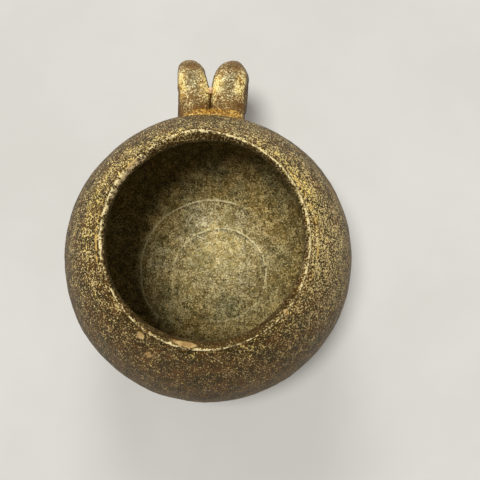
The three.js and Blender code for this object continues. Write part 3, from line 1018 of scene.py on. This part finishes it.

# %% [markdown]
# ## The glaze on the loops, the strips and the wad
# On the loops the glaze lies greyer along the middle and breaks to gold and orange along the long
# edges, where it ran thin. Brown painted shade lies toward the tips, where the coil turns away from
# the light, and at the roots against the wall. It also lies on the outermost edges and in the groove
# where the coils meet. The strips are the brightest orange gold, and the wad is nearly bare clay.

# %% Loop glaze
def loop_glaze():
    material, tree, shader, vector = new_material("loop glaze")
    gold, grey, tip, root, painted_crease_shade = (
        mask(tree, name) for name in ("gold", "grey", "tip", "root", "painted_crease_shade"))

    def zoned(plain, calm, bright):
        """A colour that turns calm along the middle of the coil and bright along its edges."""
        return mixed(tree, gold, mixed(tree, grey, srgb(*plain), srgb(*calm)), srgb(*bright))

    glaze = place_group(tree, speckled_glaze, {
        "Vector": vector, "Ground": zoned((68, 44, 18), (98, 88, 60), (128, 84, 28)),
        "Veil": zoned((124, 93, 50), (164, 154, 114), (204, 156, 70)),
        "Fleck": zoned((222, 196, 134), (242, 232, 184), (255, 246, 188)),
        "Rust": srgb(120, 74, 28), "Gold": srgb(255, 232, 150), "Flecks per mm": 1.8,
        "Fleck share": calc(tree, "ADD", 0.26, calc(tree, "MULTIPLY", gold, 0.34)),
        "Rust share": 0.65, "Gold share": calc(tree, "MULTIPLY", gold, 0.7), "Crowding": 0.5})
    cloud = noise(tree, vector, 0.5 * PER_MM, 4.0, 0.6)
    # Painted shade: brown, in clouds, toward the tips where the coil turns away from the light, and at the
    # roots against the wall.
    tip_shade_share = calc(tree, "MULTIPLY", tip, eased_range(tree, cloud, 0.3, 0.6))
    colour = mixed(tree, calc(tree, "MULTIPLY", tip_shade_share, 0.55), glaze["Color"], srgb(92, 66, 34))
    root_shade_share = calc(tree, "MULTIPLY", root, eased_range(tree, cloud, 0.66, 0.4))
    colour = mixed(tree, calc(tree, "MULTIPLY", root_shade_share, 0.65), colour, srgb(96, 66, 36))
    # Painted shade along the outermost edges of the coil, where it turns away from the light.
    painted_edge_shade_share = calc(tree, "MULTIPLY", mask(tree, "painted_edge_shade"), 0.8)
    colour = mixed(tree, painted_edge_shade_share, colour, srgb(76, 50, 22))
    # Painted shade in the groove where the two coils meet.
    colour = mixed(tree, calc(tree, "MULTIPLY", painted_crease_shade, 0.9), colour, srgb(56, 36, 15))
    colour = mixed(tree, mask(tree, "drop"), colour, srgb(248, 222, 156))
    finish_surface(tree, shader, colour, glaze["Height"], glaze["Dullness"], (0.38, 0.7), 0.28 * MM)
    return material


# %% Strip glaze and wad clay
def strip_glaze():
    material, tree, shader, vector = new_material("strip glaze")
    rim = mask(tree, "rim")

    def edged(plain, outer):
        """A colour that turns paler toward the rim of the strip, where the glaze ran thin."""
        return mixed(tree, rim, srgb(*plain), srgb(*outer))

    glaze = place_group(tree, speckled_glaze, {
        "Vector": vector, "Ground": edged((96, 57, 14), (112, 76, 26)),
        "Veil": edged((150, 98, 28), (170, 124, 52)), "Fleck": edged((226, 178, 82), (242, 210, 130)),
        "Rust": srgb(116, 66, 18), "Gold": srgb(244, 198, 96), "Flecks per mm": 1.8,
        "Fleck share": 0.38, "Rust share": 0.4, "Gold share": 0.3, "Crowding": 0.3})
    dark = calc(tree, "MULTIPLY", worn(tree, vector, "fillet", 0.8), 0.3)
    colour = mixed(tree, dark, glaze["Color"], srgb(104, 68, 32))
    finish_surface(tree, shader, colour, glaze["Height"], glaze["Dullness"], (0.4, 0.7), 0.25 * MM)
    return material


def wad_clay():
    material, tree, shader, vector = new_material("wad clay")
    clay = place_group(tree, bare_clay, {"Vector": vector, "Clay": srgb(246, 212, 166),
                                         "Shade": srgb(230, 184, 134), "Iron": srgb(150, 98, 52)})
    finish_surface(tree, shader, clay["Color"], clay["Height"], clay["Height"], (0.6, 0.9), 0.2 * MM)
    return material


loop_finish, strip_finish = loop_glaze(), strip_glaze()
for piece in (left_loop, right_loop):
    piece.data.materials.append(loop_finish)
for piece in (upper_strip, lower_strip):
    piece.data.materials.append(strip_finish)
wad.data.materials.append(wad_clay())

# %% [markdown]
# ## A plain stage
# A pale floor and two soft lights, as in the photograph: one almost straight above, a little to the
# left, which reaches the floor of the pot, and a lower one behind the loops. Lamps that hang close
# would leave the far floor dark, so far ones are used, with a width that keeps the shadows soft.

# %% Floor
def stage_material(name, colour):
    material, tree, shader, vector = new_material(name)
    cloud = noise(tree, vector, 9.0, 4.0, 0.6)
    pale = mixed(tree, eased_range(tree, cloud, 0.35, 0.65), colour, srgb(208, 206, 200))
    tree.links.new(pale, shader.inputs["Base Color"])
    shader.inputs["Roughness"].default_value = 0.9
    return material


FLOOR_HALF = 3.0
corners = [(-FLOOR_HALF, -FLOOR_HALF, 0), (FLOOR_HALF, -FLOOR_HALF, 0),
           (FLOOR_HALF, FLOOR_HALF, 0), (-FLOOR_HALF, FLOOR_HALF, 0)]
floor_mesh = bpy.data.meshes.new("floor")
floor_mesh.from_pydata(corners, [], [(0, 1, 2, 3)])
floor = bpy.data.objects.new("floor", floor_mesh)
bpy.context.scene.collection.objects.link(floor)
floor.data.materials.append(stage_material("floor", srgb(214, 212, 207)))

# %% Lights
CEILING_DIRECTION = Vector((-0.16, -0.07, 0.98))
CEILING_WIDTH = math.radians(18)
CEILING_STRENGTH = 2.5
WINDOW_DIRECTION = Vector((-0.12, 0.85, 0.5))
WINDOW_WIDTH = math.radians(25)
WINDOW_STRENGTH = 1.3
SURROUND_LIGHT = 0.13


def far_light(name, direction, width, strength):
    """A far lamp that shines from a direction and looks that wide from the pot, as an angle."""
    lamp = bpy.data.lights.new(name, "SUN")
    lamp.angle = width
    lamp.energy = strength
    piece = bpy.data.objects.new(name, lamp)
    piece.rotation_euler = direction.to_track_quat("Z", "Y").to_euler()
    bpy.context.scene.collection.objects.link(piece)
    return piece


far_light("ceiling", CEILING_DIRECTION, CEILING_WIDTH, CEILING_STRENGTH)
far_light("window", WINDOW_DIRECTION, WINDOW_WIDTH, WINDOW_STRENGTH)


def pale_world(light, mirrored, shown):
    """Even light all round, a dimmer or brighter surround where a gloss mirrors it, and a pale one
    where the camera looks at it."""
    world = bpy.data.worlds.new("surround")
    world.use_nodes = True
    tree = world.node_tree
    path = add(tree, "ShaderNodeLightPath", {}).outputs
    gloss = {"Factor": path["Is Glossy Ray"], 2: light, 3: mirrored}
    seen = calc(tree, "MAXIMUM", path["Is Camera Ray"], path["Is Transmission Ray"])
    strength = add(tree, "ShaderNodeMix", {
        "Factor": seen, 2: add(tree, "ShaderNodeMix", gloss).outputs[0], 3: shown}).outputs[0]
    background = tree.nodes["Background"]
    background.inputs["Color"].default_value = srgb(244, 243, 240)
    tree.links.new(strength, background.inputs["Strength"])
    return world


bpy.context.scene.world = pale_world(SURROUND_LIGHT, 0.45, 0.9)
bpy.context.scene.view_settings.view_transform = "Standard"

# %% [markdown]
# ## Seat the pieces on the body
# Each piece rides on the one body of this pot and stands for the imported piece that it dresses.

# %% Ride and replace
DRESSED = [
    (body, "pot_body", "body_glaze"),
    (left_loop, "left_loop", "loop_glaze"),
    (right_loop, "right_loop", "loop_glaze"),
    (upper_strip, "upper_clay_strip", "strip_glaze"),
    (lower_strip, "lower_clay_strip", "strip_glaze"),
    (wad, "bridging_wad", "bare_clay"),
]
for piece, node, slot in DRESSED:
    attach(piece, "root")
    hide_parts(node)
